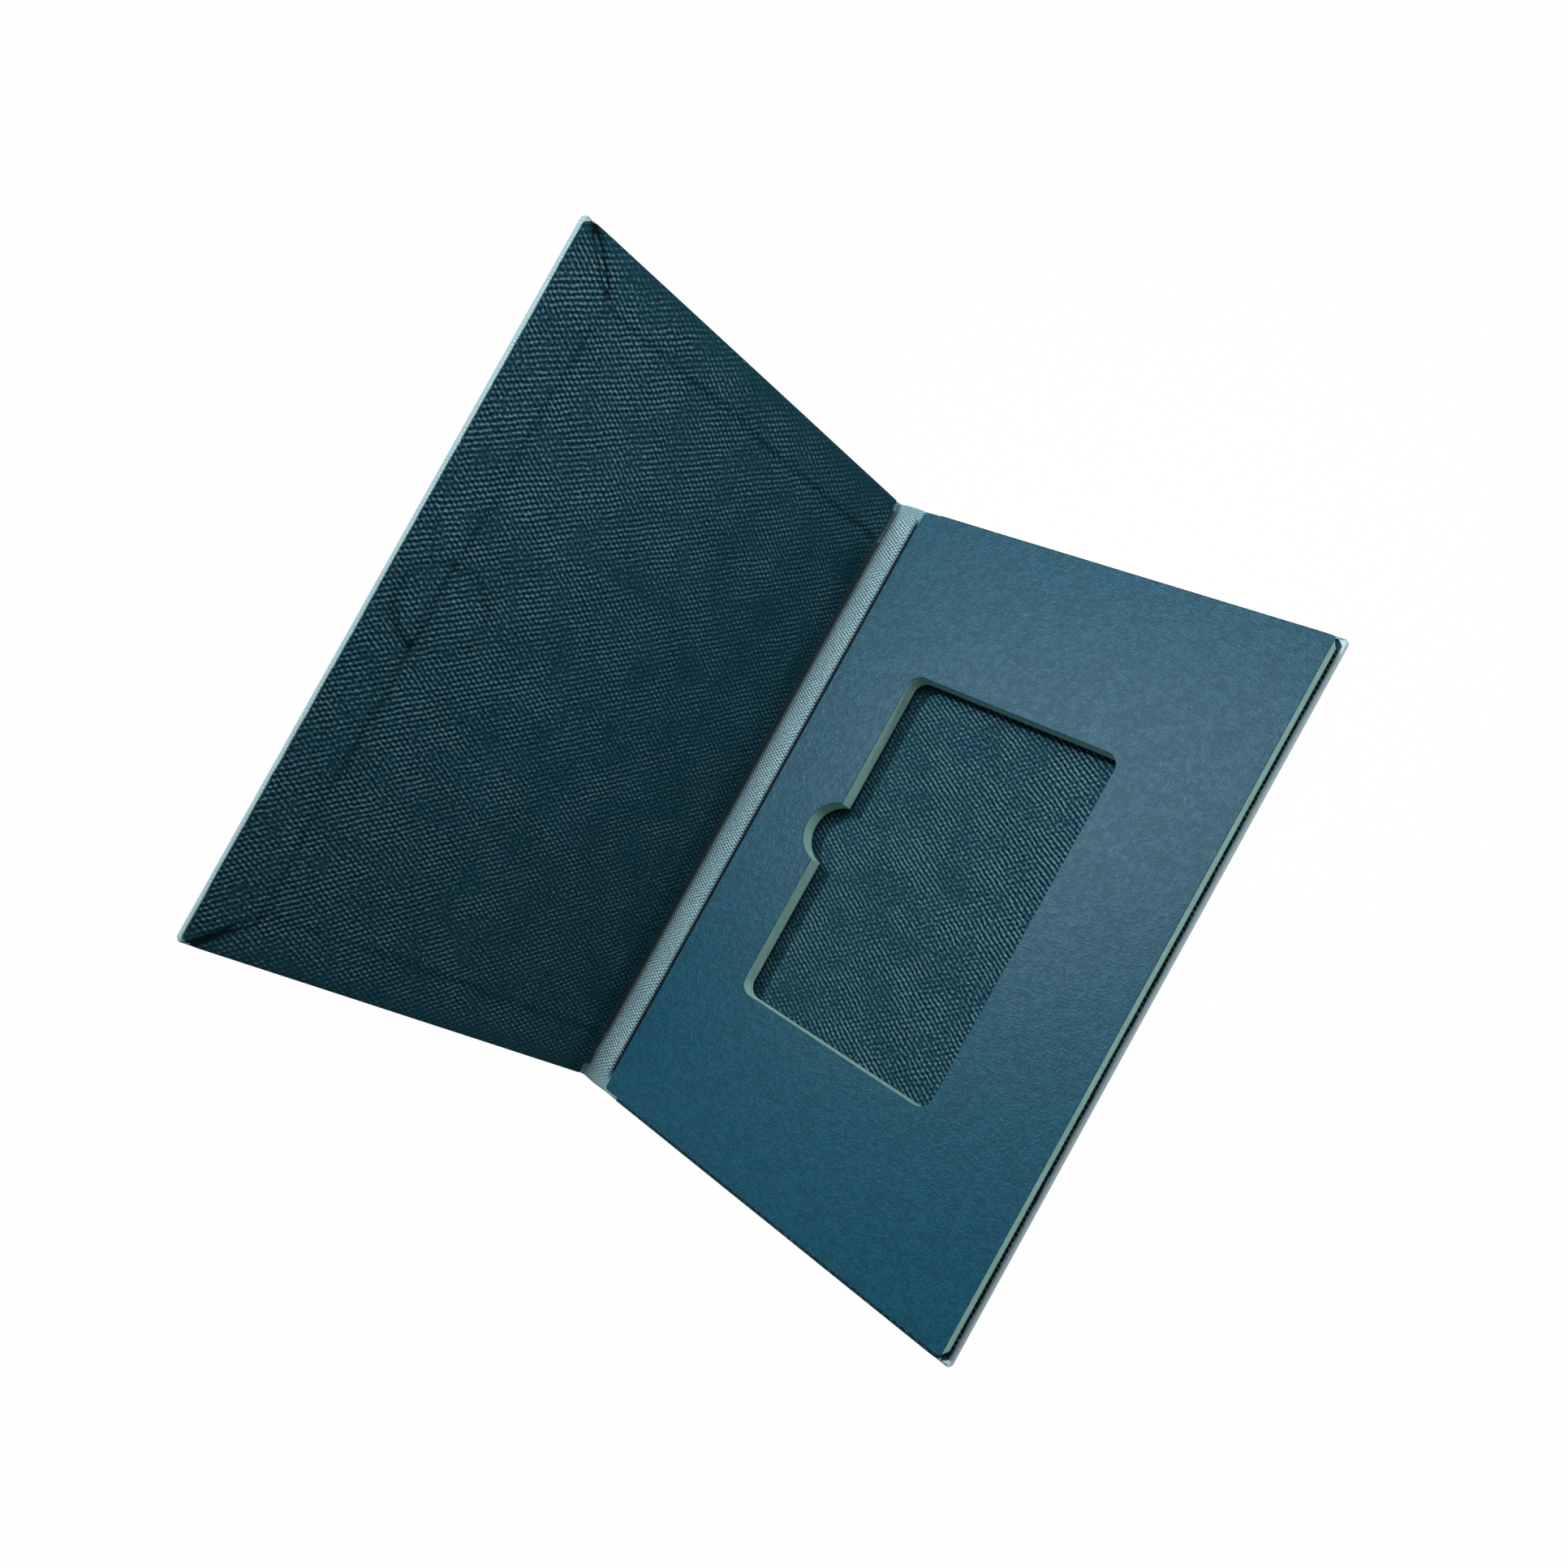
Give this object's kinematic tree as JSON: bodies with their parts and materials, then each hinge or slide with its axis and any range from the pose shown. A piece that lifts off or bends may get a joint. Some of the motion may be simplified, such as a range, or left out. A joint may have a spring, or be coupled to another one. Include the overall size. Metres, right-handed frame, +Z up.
{
  "type": "card storage box",
  "caption": "Book-style cloth-covered folder for a bank-size card: a base with a raised window insert, a spine, and a hinged cover with a hidden magnet.",
  "frame": {"origin": "middle of the base panel's underside, on the table", "axes": "+X from the hinge to the free edge of the base, +Y along the hinge, +Z up out of the base"},
  "size_m": [0.153, 0.171, 0.1004],
  "materials": {
    "outer_cloth": "light blue-grey woven book cloth with a faint sheen",
    "lining_cloth": "dark teal woven cloth, plain weave",
    "face_paper": "smooth matt teal sheet with a fine mottled grain",
    "pale_core": "pale green core, smooth cut edge",
    "backing_board": "thin beige board, cut edge",
    "dark_foam": "black closed-cell foam tape",
    "grey_board": "grey board, hidden",
    "nickel": "nickel-plated disc, hidden"
  },
  "bodies": {
    "base": {"base_board": "grey_board", "base_wrap": "outer_cloth", "base_hinge_lap": "outer_cloth", "base_lining": "lining_cloth", "base_keeper_disc": "nickel", "insert_face": "face_paper", "insert_core": "pale_core", "insert_backing": "backing_board", "mounting_tape_hinge": "dark_foam", "mounting_tape_free": "dark_foam", "mounting_tape_front": "dark_foam", "mounting_tape_back": "dark_foam", "base_joint_outer": "outer_cloth", "base_joint_inner": "outer_cloth"},
    "spine": {"spine_board": "grey_board", "spine_wrap": "outer_cloth", "spine_lining": "outer_cloth", "cover_joint_outer": "outer_cloth", "cover_joint_inner": "outer_cloth"},
    "cover": {"cover_board": "grey_board", "cover_wrap": "outer_cloth", "cover_hinge_lap": "outer_cloth", "cover_lining": "lining_cloth", "cover_magnet": "nickel"}
  },
  "joints": [
    {"name": "base_hinge", "type": "hinge", "parent": "base", "child": "spine", "pos_m": [-0.0531, 0, 0.00013], "axis": [0, 1, 0], "range_deg": [0, 90], "deforming": ["base_joint_outer", "base_joint_inner"]},
    {"name": "cover_hinge", "type": "hinge", "parent": "spine", "child": "cover", "pos_m": [-0.06515, 0, 0.00013], "axis": [0, 1, 0], "range_deg": [-70.5, 19.5], "deforming": ["cover_joint_outer", "cover_joint_inner"]}
  ]
}
